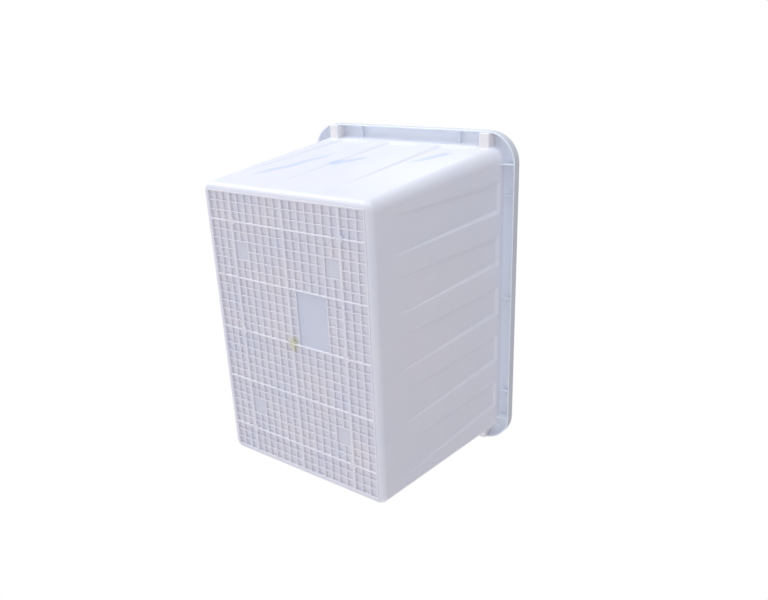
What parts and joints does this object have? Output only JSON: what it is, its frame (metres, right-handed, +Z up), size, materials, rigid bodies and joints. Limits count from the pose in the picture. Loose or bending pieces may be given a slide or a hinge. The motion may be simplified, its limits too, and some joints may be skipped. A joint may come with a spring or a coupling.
{
  "type": "storage tub",
  "caption": "Large white moulded plastic tub with drafted, panelled walls, a skirted rim and a square grid of ribs under its base.",
  "frame": {"origin": "on the ground, under the middle of the base, with the tub upright", "axes": "+Z up, out of the tub's mouth; +X along its length, towards the end that the large smooth pad under the base is nearer to; +Y across its width"},
  "size_m": [0.7, 0.512, 0.425],
  "materials": {
    "shell_plastic": "semi-gloss white polyethylene, as moulded, faintly mottled",
    "rim_plastic": "semi-gloss white polyethylene, as moulded",
    "stop_plastic": "satin, slightly warmer white",
    "rib_plastic": "satin white polyethylene, lightly scuffed on the edges",
    "pad_plastic": "smooth satin white",
    "gate_plastic": "satin, stained pale yellow around the moulding gate"
  },
  "bodies": {
    "root": {"tub_shell": "shell_plastic", "rim_flange": "rim_plastic", "rim_skirt": "rim_plastic", "side_webs": "rim_plastic", "end_webs": "rim_plastic", "corner_web_1": "rim_plastic", "corner_web_2": "rim_plastic", "corner_web_3": "rim_plastic", "corner_web_4": "rim_plastic", "stop_block_1": "stop_plastic", "stop_block_2": "stop_plastic", "stop_block_3": "stop_plastic", "stop_block_4": "stop_plastic", "edge_rib": "rib_plastic", "cross_ribs": "rib_plastic", "long_ribs": "rib_plastic", "thin_ribs": "rib_plastic", "gate_bosses": "rib_plastic", "centre_boss": "gate_plastic", "label_pad": "pad_plastic", "corner_pads": "pad_plastic"}
  },
  "joints": []
}
